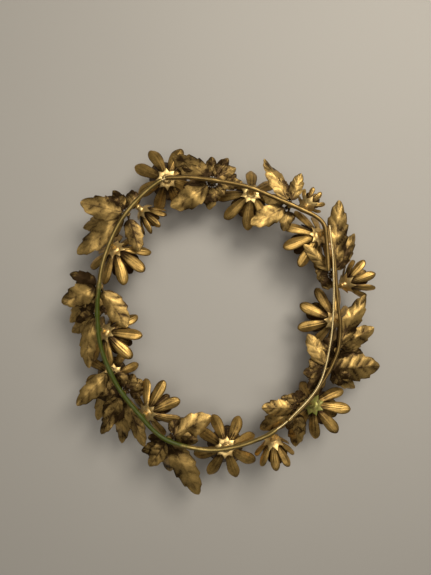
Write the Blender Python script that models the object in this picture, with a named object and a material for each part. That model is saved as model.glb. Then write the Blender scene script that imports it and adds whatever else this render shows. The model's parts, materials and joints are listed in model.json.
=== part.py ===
"""A gold-sprayed flower crown, lying face down with its wire hoop on top.

A core wire is bent to a rough oval. Two moulded stems are threaded on it and a third is glued beside
its bare stretch. Short spurs on the stems carry leaf sprays and flower heads: each head is a star
calyx, a double rosette of petals and a stamen button, and it turns on its spur.

Metres, +Z up. The origin is the middle of the hoop, where the wearer's head goes.
"""

import math

import bmesh
import bpy
from mathutils import Matrix, Vector

# Girth of the hoop round the head, and the girth that every other size here is drawn for
HEAD_GIRTH = 0.558
DRAWN_GIRTH = 0.558

# Hoop, stems and glue
WIRE_RADIUS = 0.0008
CLEARANCE = 0.0003
STEM_WALL = 0.0004
RIGHT_STEM_RADIUS = 0.0011
STEM_SIDES = 8
ROUTE_STEP = 0.0075
STEM_END_GAP = 0.0008
GLUE_RADIUS = 0.0032
UPPER_GLUE_DROP = 0.0026
LOWER_GLUE_DROP = 0.0
SPUR_RADIUS = 0.0010
SPUR_SIDES = 8
SOCKET_WALL = 0.0007

# Flower heads, along each head's own axis
NECK_LENGTH = 0.0042
SPUR_SEAT = 0.0030
FLANGE_THICKNESS = 0.0009
SEPAL_COUNT = 8
SEPAL_REACH = 0.0078
SEPAL_BACKSET = math.radians(10)
HUB_RADIUS = 0.0040
TIER_THICKNESS = 0.0009
PETAL_COUNT = 8
PETAL_LENGTH = 0.0226
PETAL_BASE_WIDTH = 0.0046
PETAL_WIDTH = 0.0084
PETAL_WIDEST = 0.70
PETAL_THICKNESS = 0.0009
PETAL_CUP = 0.10
PETAL_CURL = math.radians(20)
PETAL_SWAY = math.radians(4)
BACK_STATIONS = (0.2, 0.45, 0.7, 0.9, 0.985)
FRONT_STATIONS = (0.25, 0.65, 0.97)
FRONT_SHARE = 0.78
FRONT_CONE = math.radians(68)
FRONT_CLOSING = 0.55
STAMEN_HEIGHT = 0.0030
STAMEN_SIDES = 8

# Leaf sprays
LEAF_SOCKET_DEPTH = 0.0030
LEAF_SOCKET_FLOOR = 0.0008
LEAF_SOCKET_START = 0.0023
LEAF_FACE = math.radians(9)
PETIOLE_LENGTH = 0.0032
PETIOLE_WIDTH = 0.0014
LEAF_THICKNESS = 0.0011
LEAF_FULLNESS = 1.12
LEAF_FOLD = math.radians(16)
LEAF_DROOP = math.radians(14)
LEAF_STATIONS = (0.12, 0.3, 0.5, 0.7, 0.88, 0.985)
SOCKET_GAP = math.radians(75)

# The wire's route round the hoop, from the tail of the top stem to the bare end beside it
TOP_ROUTE = (
    (0.0769, 0.0290), (0.0762, 0.0420), (0.0754, 0.0525), (0.0740, 0.0602), (0.0690, 0.0656),
    (0.0588, 0.0708), (0.0371, 0.0803), (0.0228, 0.0860), (0.0068, 0.0895), (-0.0153, 0.0925),
    (-0.0262, 0.0925), (-0.0365, 0.0910),
)
LEFT_ROUTE = (
    (-0.0515, 0.0790), (-0.0654, 0.0617), (-0.0758, 0.0376), (-0.0797, 0.0160), (-0.0804, -0.0030),
    (-0.0777, -0.0241), (-0.0679, -0.0473), (-0.0530, -0.0676), (-0.0347, -0.0852), (-0.0087, -0.0925),
    (0.0123, -0.0910), (0.0328, -0.0841), (0.0420, -0.0785),
)
BARE_ROUTE = (
    (0.0526, -0.0696), (0.0703, -0.0488), (0.0781, -0.0205), (0.0805, 0.0099), (0.0800, 0.0358),
    (0.0786, 0.0500), (0.0776, 0.0600),
)
RIGHT_ROUTE = (
    (0.0500, -0.0738), (0.0575, -0.0672), (0.0662, -0.0575), (0.0740, -0.0465), (0.0802, -0.0355),
    (0.0845, -0.0235), (0.0856, -0.0080), (0.0840, 0.0080), (0.0828, 0.0220), (0.0818, 0.0360),
    (0.0802, 0.0480),
)
RIGHT_DROP = 0.0024
LOWER_GLUE_LENGTH = 4.5
UPPER_GLUE_LENGTH = 6.8
GLUE_SPUR_GAP = 4.0

# Flower heads clockwise from the top: stem, place round the hoop, heading and tilt from straight down,
# stalk, opening cone, spin and petal size. Angles are in degrees and the stalk is in metres.
FLOWERS = (
    ("top", 73.6, 262, 14, 0.0026, 18, -2, 1.0),
    ("top", 50.0, 45, 48, 0.0026, 38, 10, 0.46),
    ("top", 36.5, 205, 30, 0.0026, 20, 5, 1.0),
    ("right", 372.0, 20, 62, 0.0036, 42, 0, 0.78),
    ("right", 356.0, 165, 20, 0.0026, 18, 13, 1.0),
    ("right", 316.0, 325, 38, 0.0066, 22, 14, 1.0),
    ("left", 295.2, 282, 60, 0.0026, 42, 12, 0.76),
    ("left", 274.5, 270, 14, 0.0026, 18, -16, 1.0),
    ("left", 234.5, 22, 24, 0.0026, 20, 2, 0.95),
    ("left", 211.0, 205, 14, 0.0098, 16, 10, 0.80),
    ("left", 187.2, 315, 33, 0.0032, 20, 0, 1.0),
    ("left", 145.8, 290, 33, 0.0032, 20, 4, 1.0),
    ("left", 126.5, 320, 60, 0.0026, 44, 0, 0.62),
    ("top", 110.0, 110, 12, 0.0026, 18, -6, 1.05),
)

# Leaf sprays: stem, place round the hoop and leaflets as heading, length, width, pitch, bend and roll.
# Every width is filled out by the same fullness.
LEAF_SPRAYS = {
    "leaf_spray_top": ("top", 91.5, (
        (138, 0.034, 0.0175, -3, 16, 10), (219, 0.032, 0.016, 0, -20, -12), (264, 0.018, 0.010, -18, 0, 0))),
    "leaf_spray_top_right": ("top", 55.5, (
        (112, 0.036, 0.013, 0, 10, 35), (70, 0.022, 0.010, 5, 0, 0),
        (206, 0.028, 0.014, 10, 0, 0), (258, 0.016, 0.009, 0, 0, 0), (158, 0.018, 0.009, -10, 0, 0))),
    "leaf_spray_right_upper": ("right", 378.0, (
        (86, 0.050, 0.016, 7, 0, 0), (137, 0.030, 0.0095, 14, 0, 0), (54, 0.038, 0.011, -14, 10, 10))),
    "leaf_spray_right_middle": ("right", 343.0, (
        (27, 0.032, 0.014, -8, 0, 0), (63, 0.041, 0.013, 10, 0, 0))),
    "leaf_spray_right_lower": ("right", 333.0, (
        (3, 0.037, 0.020, -2, 0, 0), (118, 0.028, 0.013, 0, 0, 0), (326, 0.028, 0.010, -18, 0, 0))),
    "leaf_spray_bottom_right": ("right", 311.0, (
        (178, 0.024, 0.012, 8, 0, 0), (214, 0.031, 0.014, -12, 0, 0), (268, 0.028, 0.013, -8, 0, 0))),
    "leaf_spray_bottom": ("left", 249.5, (
        (25, 0.031, 0.017, -3, 0, 0), (62, 0.012, 0.006, -18, 0, 0),
        (296, 0.046, 0.017, -3, 0, 0), (236, 0.022, 0.012, 4, 0, 0), (268, 0.034, 0.016, -26, 0, 0))),
    "leaf_spray_bottom_left": ("left", 221.0, (
        (241, 0.032, 0.011, 2, 0, 0), (264, 0.040, 0.012, -12, 0, 0), (289, 0.042, 0.012, 0, 0, 0))),
    "leaf_spray_left_lower": ("left", 208.5, (
        (226, 0.032, 0.013, 8, 0, 0), (252, 0.040, 0.012, -10, 0, 0))),
    "leaf_spray_left_middle": ("left", 180.0, (
        (239, 0.042, 0.013, -2, 40, 0), (213, 0.026, 0.011, -15, 0, 0))),
    "leaf_spray_left": ("left", 166.8, (
        (203, 0.027, 0.016, 8, 0, 0), (226, 0.036, 0.013, -12, 0, 0), (303, 0.032, 0.016, 5, 0, 0))),
    "leaf_spray_left_upper": ("left", 131.5, (
        (167, 0.031, 0.017, 11, 0, 0), (193, 0.036, 0.013, -14, 0, 0),
        (217, 0.044, 0.016, 0, 0, 0), (287, 0.027, 0.013, 5, 0, 0))),
}

# The flower and the leaf spray that each bead of glue stops short of
GLUED_FLOWER = "flower_03"
GLUED_SPRAY = "leaf_spray_bottom_right"

COLOURS = {
    "gold_petal": ((0.46, 0.32, 0.12), 0.42, 0.85),
    "gold_calyx": ((0.72, 0.58, 0.28), 0.25, 0.9),
    "gold_leaf": ((0.42, 0.29, 0.11), 0.48, 0.8),
    "gold_stamen": ((0.36, 0.24, 0.08), 0.5, 0.8),
    "stem_bronze": ((0.23, 0.16, 0.05), 0.4, 0.5),
    "stem_green": ((0.09, 0.16, 0.03), 0.45, 0.1),
    "wire_gold": ((0.62, 0.5, 0.26), 0.25, 0.95),
    "glue_amber": ((0.42, 0.2, 0.06), 0.2, 0.2),
}

# Sizes that follow from the ones above
STEM_BORE = WIRE_RADIUS + CLEARANCE
STEM_RADIUS = STEM_BORE + STEM_WALL
SPUR_ROOT = STEM_BORE + 0.3 * STEM_WALL
RIGHT_SPUR_ROOT = 0.3 * RIGHT_STEM_RADIUS
SOCKET_BORE = SPUR_RADIUS + CLEARANCE
SOCKET_RADIUS = SOCKET_BORE + SOCKET_WALL
STAMEN_RADIUS = HUB_RADIUS - CLEARANCE
DOWN = Vector((0, 0, -1))


def clear_scene():
    for obj in list(bpy.data.objects):
        bpy.data.objects.remove(obj)


def material(name):
    found = bpy.data.materials.get(name)
    if found:
        return found
    colour, roughness, metallic = COLOURS[name]
    made = bpy.data.materials.new(name)
    made.use_nodes = True
    shader = made.node_tree.nodes["Principled BSDF"]
    shader.inputs["Base Color"].default_value = (*colour, 1)
    shader.inputs["Roughness"].default_value = roughness
    shader.inputs["Metallic"].default_value = metallic
    return made


def finish_object(name, bm, finish, parent=None):
    """Turns a bmesh into a named object with outward faces and soft shading."""
    bmesh.ops.recalc_face_normals(bm, faces=bm.faces)
    mesh = bpy.data.meshes.new(name)
    bm.to_mesh(mesh)
    bm.free()
    mesh.shade_smooth()
    mesh.set_sharp_from_angle(angle=math.radians(40))
    mesh.materials.append(material(finish))
    obj = bpy.data.objects.new(name, mesh)
    bpy.context.scene.collection.objects.link(obj)
    obj.parent = parent
    return obj


def hide_helper(obj):
    obj.hide_render = True
    obj.display_type = "WIRE"
    return obj


# Routes

def smooth(points):
    """A Catmull-Rom curve through the points, with points about ROUTE_STEP apart."""
    knots = [Vector((p[0], p[1], p[2] if len(p) > 2 else 0.0)) for p in points]
    ends = [2 * knots[0] - knots[1], *knots, 2 * knots[-1] - knots[-2]]
    curve = []
    for a, b, c, d in zip(ends, ends[1:], ends[2:], ends[3:]):
        steps = max(2, round((c - b).length / ROUTE_STEP))
        for step in range(steps):
            t = step / steps
            curve.append(0.5 * (2 * b + (c - a) * t + (2 * a - 5 * b + 4 * c - d) * t**2
                                + (3 * b - a - 3 * c + d) * t**3))
    return [*curve, knots[-1]]


def polar_angles(path):
    """Each point's angle round the hoop's middle, in degrees, unwrapped along the path."""
    angles = [math.degrees(math.atan2(path[0].y, path[0].x))]
    for point in path[1:]:
        turn = math.degrees(math.atan2(point.y, point.x)) - angles[-1]
        angles.append(angles[-1] + (turn + 180) % 360 - 180)
    return angles


def point_at(path, angle):
    """The path's point at this angle round the hoop, in degrees."""
    angles = polar_angles(path)
    for low, high, a, b in zip(angles, angles[1:], path, path[1:]):
        for turns in (-360, 0, 360):
            wanted = angle + turns
            if min(low, high) <= wanted <= max(low, high):
                return a.lerp(b, (wanted - low) / (high - low))
    raise ValueError(f"no point at {angle} degrees")


def frames_along(path):
    """(point, sideways, up) at each point of a path that lies near the hoop's plane."""
    frames = []
    for i, point in enumerate(path):
        ahead = (path[min(i + 1, len(path) - 1)] - path[max(i - 1, 0)]).normalized()
        sideways = Vector((0, 0, 1)).cross(ahead).normalized()
        frames.append((point, sideways, ahead.cross(sideways)))
    return frames


def trimmed(path, start, end):
    """The path with its two ends drawn back by these lengths."""
    first = path[0] + (path[1] - path[0]).normalized() * start
    last = path[-1] + (path[-2] - path[-1]).normalized() * end
    return [first, *path[1:-1], last]


# Tubes, spurs and glue

def add_ring(bm, point, u, v, radius, sides):
    angles = [2 * math.pi * (k + 0.5) / sides for k in range(sides)]
    return [bm.verts.new(point + radius * (math.cos(a) * u + math.sin(a) * v)) for a in angles]


def join_rings(bm, first, second):
    count = len(first)
    for k in range(count):
        bm.faces.new((first[k], first[(k + 1) % count], second[(k + 1) % count], second[k]))


def tube(name, path, radius, finish, bore=0.0):
    """A round tube along a path, solid or with a bore that is open at both ends."""
    bm = bmesh.new()
    frames = frames_along(path)
    outer = [add_ring(bm, p, u, v, radius, STEM_SIDES) for p, u, v in frames]
    for a, b in zip(outer, outer[1:]):
        join_rings(bm, a, b)
    if bore:
        inner = [add_ring(bm, p, u, v, bore, STEM_SIDES) for p, u, v in frames]
        for a, b in zip(inner, inner[1:]):
            join_rings(bm, a, b)
        join_rings(bm, outer[0], inner[0])
        join_rings(bm, outer[-1], inner[-1])
    else:
        bm.faces.new(outer[0])
        bm.faces.new(outer[-1])
    return finish_object(name, bm, finish)


def rod(name, start, end, radius, finish):
    """A straight solid rod."""
    bm = bmesh.new()
    along = (end - start).normalized()
    u = along.orthogonal().normalized()
    v = along.cross(u)
    first = add_ring(bm, start, u, v, radius, SPUR_SIDES)
    last = add_ring(bm, end, u, v, radius, SPUR_SIDES)
    join_rings(bm, first, last)
    bm.faces.new(first)
    bm.faces.new(last)
    return finish_object(name, bm, finish)


def add_boolean(obj, other, operation):
    cut = obj.modifiers.new(other.name, "BOOLEAN")
    cut.operation = operation
    cut.solver = "EXACT"
    cut.object = hide_helper(other)


def add_spur(stem, name, base, direction, reach):
    """A spur moulded on the stem, rooted in its wall and reaching this far from its middle."""
    root = RIGHT_SPUR_ROOT if stem.name == "stem_right" else SPUR_ROOT
    spur = rod(f"{name}_spur", base + direction * root, base + direction * reach,
               SPUR_RADIUS, stem.data.materials[0].name)
    add_boolean(stem, spur, "UNION")


def glue_bead(name, beside, held, span, drop):
    """A bead of hot glue along a stretch of one path, moulded round it and the pieces that it holds."""
    low, high = span
    count = 5
    route = [point_at(beside, low + (high - low) * k / (count - 1)) for k in range(count)]
    partner = held[0][0]
    middle = [p.lerp(nearest(partner, p), 0.5) - Vector((0, 0, drop)) for p in route]
    bead = tube(name, middle, GLUE_RADIUS, "glue_amber")
    for number, (path, radius) in enumerate(held):
        cutter = tube(f"{name}_channel_{number}", path, radius + CLEARANCE, "glue_amber")
        add_boolean(bead, cutter, "DIFFERENCE")
    return bead


def nearest(path, point):
    return min(path, key=lambda p: (p - point).length)


# Flower heads

def petal_width(s):
    """Width of a spoon-shaped petal at share s of its length."""
    if s < PETAL_WIDEST:
        t = s / PETAL_WIDEST
        return PETAL_BASE_WIDTH + (PETAL_WIDTH - PETAL_BASE_WIDTH) * t * t * (3 - 2 * t)
    past = (s - PETAL_WIDEST) / (1 - PETAL_WIDEST)
    return PETAL_WIDTH * math.sqrt(1 - past * past)


def petal_section(s, length, cone, keel):
    """(reach from the hub, rise along the axis, half width, edge rise, keel rise) at share s.

    A keel behind the petal goes with edges that cup forwards; a keel in front goes with flat edges.
    """
    angle = cone + PETAL_CURL * s
    reach = length * (math.sin(angle) - math.sin(cone)) / PETAL_CURL
    rise = length * (math.cos(cone) - math.cos(angle)) / PETAL_CURL
    width = petal_width(s) * length / PETAL_LENGTH
    edge = PETAL_CUP * width if keel < 0 else 0.0
    return reach, rise, width / 2, edge, keel * math.cos(angle)


def add_petal(bm, root, angle, level, length, cone, keel, stations):
    """Extrudes a petal from a triangle of hub points: left edge, right edge and keel."""
    outward = Vector((math.cos(angle), math.sin(angle), 0))
    across = Vector((-math.sin(angle), math.cos(angle), 0))
    last = root
    for s in stations:
        reach, rise, half, edge, ridge = petal_section(s, length, cone, keel)
        middle = outward * (HUB_RADIUS + reach) + Vector((0, 0, level + rise))
        lift = Vector((0, 0, edge))
        ring = [bm.verts.new(middle - across * half + lift), bm.verts.new(middle + across * half + lift),
                bm.verts.new(middle + Vector((0, 0, ridge)))]
        join_rings(bm, last, ring)
        last = ring
    bm.faces.new(last)


def petal_cone(cone, number):
    """Each petal's own opening, a little off the head's, so that no two are alike."""
    return cone + PETAL_SWAY * math.sin(2.4 * number + 0.7)


def petals_mesh(hub_back, cone, spin, length):
    """Two tiers of petals on one hub with a hole for the stamen's pin."""
    bm = bmesh.new()
    step = 2 * math.pi / PETAL_COUNT
    front_cone = cone + FRONT_CLOSING * (FRONT_CONE - cone)
    back_z, middle_z, front_z = (hub_back + TIER_THICKNESS * k for k in range(3))

    def at(angle, radius, z):
        return bm.verts.new((radius * math.cos(angle), radius * math.sin(angle), z))

    turns = [spin + step * k for k in range(PETAL_COUNT)]
    back = [at(a, HUB_RADIUS, back_z) for a in turns]
    lefts = [at(a - step / 4, HUB_RADIUS, middle_z) for a in turns]
    rights = [at(a + step / 4, HUB_RADIUS, middle_z) for a in turns]
    front = [at(a + step / 2, HUB_RADIUS, front_z) for a in turns]
    hole_back = [at(a, SOCKET_BORE, back_z) for a in turns]
    hole_front = [at(a + step / 2, SOCKET_BORE, front_z) for a in turns]
    for k in range(PETAL_COUNT):
        n = (k + 1) % PETAL_COUNT
        bm.faces.new((back[k], rights[k], lefts[n], back[n]))
        bm.faces.new((front[k - 1], lefts[k], rights[k], front[k]))
        bm.faces.new((hole_back[k], hole_back[n], hole_front[k]))
        bm.faces.new((hole_front[k - 1], hole_back[k], hole_front[k]))
        add_petal(bm, [lefts[k], rights[k], back[k]], turns[k], middle_z, length,
                  petal_cone(cone, k), -PETAL_THICKNESS, BACK_STATIONS)
        add_petal(bm, [rights[k], lefts[n], front[k]], turns[k] + step / 2, middle_z,
                  length * FRONT_SHARE, petal_cone(front_cone, k + PETAL_COUNT),
                  PETAL_THICKNESS, FRONT_STATIONS)
    join_rings(bm, back, hole_back)
    join_rings(bm, front, hole_front)
    return bm


def calyx_mesh(stalk, cone, spin):
    """A tube that slips over the spur, flaring into a star of sepals behind the petals."""
    bm = bmesh.new()
    step = 2 * math.pi / SEPAL_COUNT
    slope = math.tan(max(0.0, cone - SEPAL_BACKSET))
    flange = stalk + NECK_LENGTH

    def ring(radius, z, shift):
        angles = [spin + step * (k + shift) for k in range(SEPAL_COUNT)]
        return [bm.verts.new((radius * math.cos(a), radius * math.sin(a), z)) for a in angles]

    def star(z):
        return ring(HUB_RADIUS, z, 0), ring(SEPAL_REACH, z + (SEPAL_REACH - HUB_RADIUS) * slope, 0.5)

    neck_back = ring(SOCKET_RADIUS, stalk, 0)
    neck_front = ring(SOCKET_RADIUS, flange, 0)
    bore_back = ring(SOCKET_BORE, stalk, 0)
    bore_front = ring(SOCKET_BORE, flange + FLANGE_THICKNESS, 0)
    roots_back, tips_back = star(flange)
    roots_front, tips_front = star(flange + FLANGE_THICKNESS)
    join_rings(bm, neck_back, neck_front)
    join_rings(bm, bore_back, bore_front)
    join_rings(bm, neck_back, bore_back)
    join_rings(bm, neck_front, roots_back)
    join_rings(bm, bore_front, roots_front)
    for k in range(SEPAL_COUNT):
        n = (k + 1) % SEPAL_COUNT
        bm.faces.new((roots_back[k], tips_back[k], roots_back[n]))
        bm.faces.new((roots_front[k], tips_front[k], roots_front[n]))
        bm.faces.new((roots_back[k], tips_back[k], tips_front[k], roots_front[k]))
        bm.faces.new((tips_back[k], roots_back[n], roots_front[n], tips_front[k]))
    return bm


def stamen_mesh(pin_end, seat):
    """A domed button whose pin goes through the petals into the calyx."""
    bm = bmesh.new()
    x, y = Vector((1, 0, 0)), Vector((0, 1, 0))
    profile = ((SPUR_RADIUS, pin_end), (SPUR_RADIUS, seat), (STAMEN_RADIUS, seat),
               (STAMEN_RADIUS, seat + 0.35 * STAMEN_HEIGHT), (0.62 * STAMEN_RADIUS, seat + STAMEN_HEIGHT))
    rings = [add_ring(bm, Vector((0, 0, z)), x, y, radius, STAMEN_SIDES) for radius, z in profile]
    for a, b in zip(rings, rings[1:]):
        join_rings(bm, a, b)
    bm.faces.new(rings[0])
    bm.faces.new(rings[-1])
    return bm


def facing(heading, tilt):
    """A direction tilted from straight down towards a heading, and the matching sideways direction."""
    level = Vector((math.cos(heading), math.sin(heading), 0))
    axis = level * math.sin(tilt) + DOWN * math.cos(tilt)
    return axis, level * math.cos(tilt) - DOWN * math.sin(tilt)


def flower_head(number, stems, row):
    """One flower head on its spur, hung from an empty on the axis it turns about."""
    stem_name, place, heading, tilt, stalk, cone, spin, size = row
    heading, tilt, cone, spin = (math.radians(a) for a in (heading, tilt, cone, spin))
    name = f"flower_{number:02d}"
    stem, path = stems[stem_name]
    base = point_at(path, place)
    axis, x = facing(heading, tilt)
    add_spur(stem, name, base, axis, stalk + SPUR_SEAT)

    swivel = bpy.data.objects.new(f"{name}_swivel", None)
    bpy.context.scene.collection.objects.link(swivel)
    turn = Matrix((x, axis.cross(x), axis)).transposed()
    swivel.matrix_world = Matrix.Translation(base) @ turn.to_4x4()

    flange_front = stalk + NECK_LENGTH + FLANGE_THICKNESS
    hub_back = flange_front + CLEARANCE
    seat = hub_back + 2 * TIER_THICKNESS + CLEARANCE
    finish_object(f"{name}_calyx", calyx_mesh(stalk, cone, spin), "gold_calyx", swivel)
    petals = petals_mesh(hub_back, cone, spin, PETAL_LENGTH * size)
    finish_object(f"{name}_petals", petals, "gold_petal", swivel)
    pin_end = stalk + SPUR_SEAT + CLEARANCE
    finish_object(f"{name}_stamen", stamen_mesh(pin_end, seat), "gold_stamen", swivel)
    print(f"{name} axis", [round(c, 5) for c in base], [round(c, 5) for c in axis])


# Leaf sprays

def leaf_width(s):
    """Share of an oval, pointed leaflet's full width at share s of its blade."""
    return math.sin(math.pi * s**0.92) ** 0.55


def leaflet_frames(start, leaflet):
    """(point, sideways, up, width) from the end of the petiole to the tip of the blade."""
    heading, length, full_width, pitch, bend, roll = leaflet
    blade_width = full_width * LEAF_FULLNESS
    heading, pitch, bend, roll = (math.radians(a) for a in (heading, pitch, bend, roll))
    blade = length - PETIOLE_LENGTH
    steps = 24
    point = start.copy()
    wanted = [PETIOLE_LENGTH / length] + [(PETIOLE_LENGTH + blade * s) / length for s in LEAF_STATIONS]
    widths = [PETIOLE_WIDTH] + [max(PETIOLE_WIDTH * 0.6, blade_width * leaf_width(s)) for s in LEAF_STATIONS]
    frames = []
    done = 0.0
    for share, width in zip(wanted, widths):
        for _ in range(steps):
            middle = done + (share - done) / (2 * steps)
            point = point + leaf_ahead(heading, pitch, bend, middle) * (share - done) * length / steps
        done = share
        ahead = leaf_ahead(heading, pitch, bend, share)
        sideways = Vector((0, 0, 1)).cross(ahead).normalized()
        sideways = Matrix.Rotation(roll * share, 3, ahead) @ sideways
        frames.append((point, sideways, ahead.cross(sideways), width))
    return frames


def leaf_ahead(heading, pitch, bend, share):
    turn = heading + bend * share
    fall = pitch - LEAF_DROOP * share
    return Vector((math.cos(turn) * math.cos(fall), math.sin(turn) * math.cos(fall), math.sin(fall)))


def add_leaflet(bm, root, start, leaflet):
    """Extrudes a folded leaflet from four points of the socket's side."""
    last = root
    for point, sideways, up, width in leaflet_frames(start, leaflet):
        half = width / 2
        wing = half * math.cos(LEAF_FOLD)
        fall = up * half * math.sin(LEAF_FOLD)
        thick = up * LEAF_THICKNESS / 2
        ring = [bm.verts.new(point - thick), bm.verts.new(point + sideways * wing - fall),
                bm.verts.new(point + thick), bm.verts.new(point - sideways * wing - fall)]
        join_rings(bm, last, ring)
        last = ring
    bm.faces.new(last)


def socket_angles(headings):
    """Corners of the socket's outline: one face for each leaflet, and more corners in wide gaps."""
    corners = []
    ordered = sorted(headings)
    for here, after in zip(ordered, [*ordered[1:], ordered[0] + 2 * math.pi]):
        corners += [here - LEAF_FACE, here + LEAF_FACE]
        gap = after - here - 2 * LEAF_FACE
        extra = math.ceil(gap / SOCKET_GAP) - 1
        corners += [here + LEAF_FACE + gap * (k + 1) / (extra + 1) for k in range(extra)]
    return corners


def leaf_spray(name, stems, row):
    """Leaflets moulded on one socket, which slips up over a spur under the stem."""
    stem_name, place, leaflets = row
    stem, path = stems[stem_name]
    base = point_at(path, place)
    top = LEAF_SOCKET_START
    bottom = top + LEAF_SOCKET_DEPTH + LEAF_SOCKET_FLOOR
    add_spur(stem, name, base, DOWN, top + LEAF_SOCKET_DEPTH - CLEARANCE)

    bm = bmesh.new()
    headings = [math.radians(leaflet[0]) for leaflet in leaflets]
    corners = socket_angles(headings)

    def ring(radius, depth):
        return [bm.verts.new((radius * math.cos(a), radius * math.sin(a), -depth)) for a in corners]

    upper, lower = ring(SOCKET_RADIUS, top), ring(SOCKET_RADIUS, bottom)
    mouth, floor = ring(SOCKET_BORE, top), ring(SOCKET_BORE, top + LEAF_SOCKET_DEPTH)
    join_rings(bm, upper, mouth)
    join_rings(bm, mouth, floor)
    bm.faces.new(floor)
    bm.faces.new(lower)
    by_heading = {round(math.degrees(h), 3): leaf for h, leaf in zip(headings, leaflets)}
    for k, corner in enumerate(corners):
        n = (k + 1) % len(corners)
        leaf = by_heading.get(round(math.degrees(corner + LEAF_FACE), 3))
        sides = [lower[k], lower[n], upper[n], upper[k]]
        if leaf is None:
            bm.faces.new(sides)
            continue
        heading = math.radians(leaf[0])
        start = Vector((math.cos(heading), math.sin(heading), 0)) * SOCKET_RADIUS
        add_leaflet(bm, sides, start - Vector((0, 0, (top + bottom) / 2)), leaf)
    spray = finish_object(name, bm, "gold_leaf")
    spray.location = base


def build_hoop():
    """The core wire, the three stems and the glue. Returns the stems that carry spurs."""
    wire_path = smooth(TOP_ROUTE + LEFT_ROUTE + BARE_ROUTE)
    right_path = [p - Vector((0, 0, RIGHT_DROP)) for p in smooth(RIGHT_ROUTE)]

    def stretch(first, last):
        begin = wire_path.index(nearest(wire_path, Vector((*first, 0))))
        end = wire_path.index(nearest(wire_path, Vector((*last, 0))))
        return wire_path[begin:end + 1]

    top_path = trimmed(stretch(TOP_ROUTE[0], TOP_ROUTE[-1]), STEM_END_GAP, STEM_END_GAP)
    left_path = trimmed(stretch(TOP_ROUTE[-1], LEFT_ROUTE[-1]), STEM_END_GAP, 0)
    bare_path = stretch(LEFT_ROUTE[-1], BARE_ROUTE[-1])
    tube("core_wire", wire_path, WIRE_RADIUS, "wire_gold")
    stems = {
        "top": (tube("stem_top", top_path, STEM_RADIUS, "stem_bronze", STEM_BORE), top_path),
        "left": (tube("stem_left", left_path, STEM_RADIUS, "stem_green", STEM_BORE), left_path),
        "right": (tube("stem_right", right_path, RIGHT_STEM_RADIUS, "stem_bronze"), right_path),
    }
    glued_place = FLOWERS[int(GLUED_FLOWER[-2:]) - 1][1]
    upper_end = glued_place - GLUE_SPUR_GAP
    lower_end = LEAF_SPRAYS[GLUED_SPRAY][1] - GLUE_SPUR_GAP
    upper_span = (upper_end - UPPER_GLUE_LENGTH, upper_end)
    lower_span = (lower_end - LOWER_GLUE_LENGTH, lower_end)
    tail = [p for p, a in zip(top_path, polar_angles(top_path)) if a < glued_place]
    glue_bead("glue_overlap", bare_path, ((tail, STEM_RADIUS), (bare_path, WIRE_RADIUS),
                                          (right_path, RIGHT_STEM_RADIUS)), upper_span,
              UPPER_GLUE_DROP)
    glue_bead("glue_lower", bare_path, ((right_path, RIGHT_STEM_RADIUS), (bare_path, WIRE_RADIUS)),
              lower_span, LOWER_GLUE_DROP)
    return stems


def fit_to_head():
    """Brings the whole crown, as drawn, to the wanted girth."""
    share = HEAD_GIRTH / DRAWN_GIRTH
    for obj in bpy.data.objects:
        obj.location *= share
        if obj.type == "MESH":
            obj.data.transform(Matrix.Scale(share, 4))


def main():
    clear_scene()
    stems = build_hoop()
    for number, row in enumerate(FLOWERS, 1):
        flower_head(number, stems, row)
    for name, row in LEAF_SPRAYS.items():
        leaf_spray(name, stems, row)
    fit_to_head()


main()
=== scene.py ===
# %% [markdown]
# # A gold-sprayed flower crown
# The crown is a wire hoop with moulded plastic stems, leaf sprays and daisy heads, all sprayed gold.
# It lies face down, so we look at the hoop, the backs of the leaves and the star calyxes.
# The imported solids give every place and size. Each piece below is lofted again along the same lines
# with the detail that a solid leaves out, and it rides on the body that the solid belongs to.

# %% Load the frame
import json
import math

import bmesh
import bpy
import numpy as np
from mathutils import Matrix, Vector
from mathutils.kdtree import KDTree

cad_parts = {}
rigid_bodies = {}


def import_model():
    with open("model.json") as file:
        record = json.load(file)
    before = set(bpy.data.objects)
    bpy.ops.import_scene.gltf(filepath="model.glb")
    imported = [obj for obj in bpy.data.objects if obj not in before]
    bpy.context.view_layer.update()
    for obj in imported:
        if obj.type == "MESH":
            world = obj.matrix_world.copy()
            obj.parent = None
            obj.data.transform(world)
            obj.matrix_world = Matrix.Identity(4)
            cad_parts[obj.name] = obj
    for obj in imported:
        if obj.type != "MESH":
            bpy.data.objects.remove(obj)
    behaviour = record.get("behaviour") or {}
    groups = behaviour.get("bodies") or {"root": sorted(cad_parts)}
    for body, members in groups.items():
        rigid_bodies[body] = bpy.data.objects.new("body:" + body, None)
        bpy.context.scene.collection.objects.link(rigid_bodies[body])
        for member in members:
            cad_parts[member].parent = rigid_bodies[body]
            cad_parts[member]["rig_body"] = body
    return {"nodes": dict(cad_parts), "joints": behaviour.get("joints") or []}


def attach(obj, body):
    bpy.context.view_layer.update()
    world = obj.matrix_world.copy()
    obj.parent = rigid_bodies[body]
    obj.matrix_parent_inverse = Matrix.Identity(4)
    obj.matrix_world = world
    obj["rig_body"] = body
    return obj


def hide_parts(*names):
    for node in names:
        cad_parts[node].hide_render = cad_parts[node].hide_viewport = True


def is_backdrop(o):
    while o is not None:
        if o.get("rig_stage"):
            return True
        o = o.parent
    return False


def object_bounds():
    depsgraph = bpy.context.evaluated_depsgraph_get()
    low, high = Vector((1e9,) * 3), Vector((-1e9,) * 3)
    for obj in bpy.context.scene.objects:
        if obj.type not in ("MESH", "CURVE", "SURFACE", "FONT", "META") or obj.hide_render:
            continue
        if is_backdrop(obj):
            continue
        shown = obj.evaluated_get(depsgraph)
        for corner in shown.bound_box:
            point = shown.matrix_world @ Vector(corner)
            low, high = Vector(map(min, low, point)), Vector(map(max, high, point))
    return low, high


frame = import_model()
cad_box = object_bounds()
scene = bpy.context.scene

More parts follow.
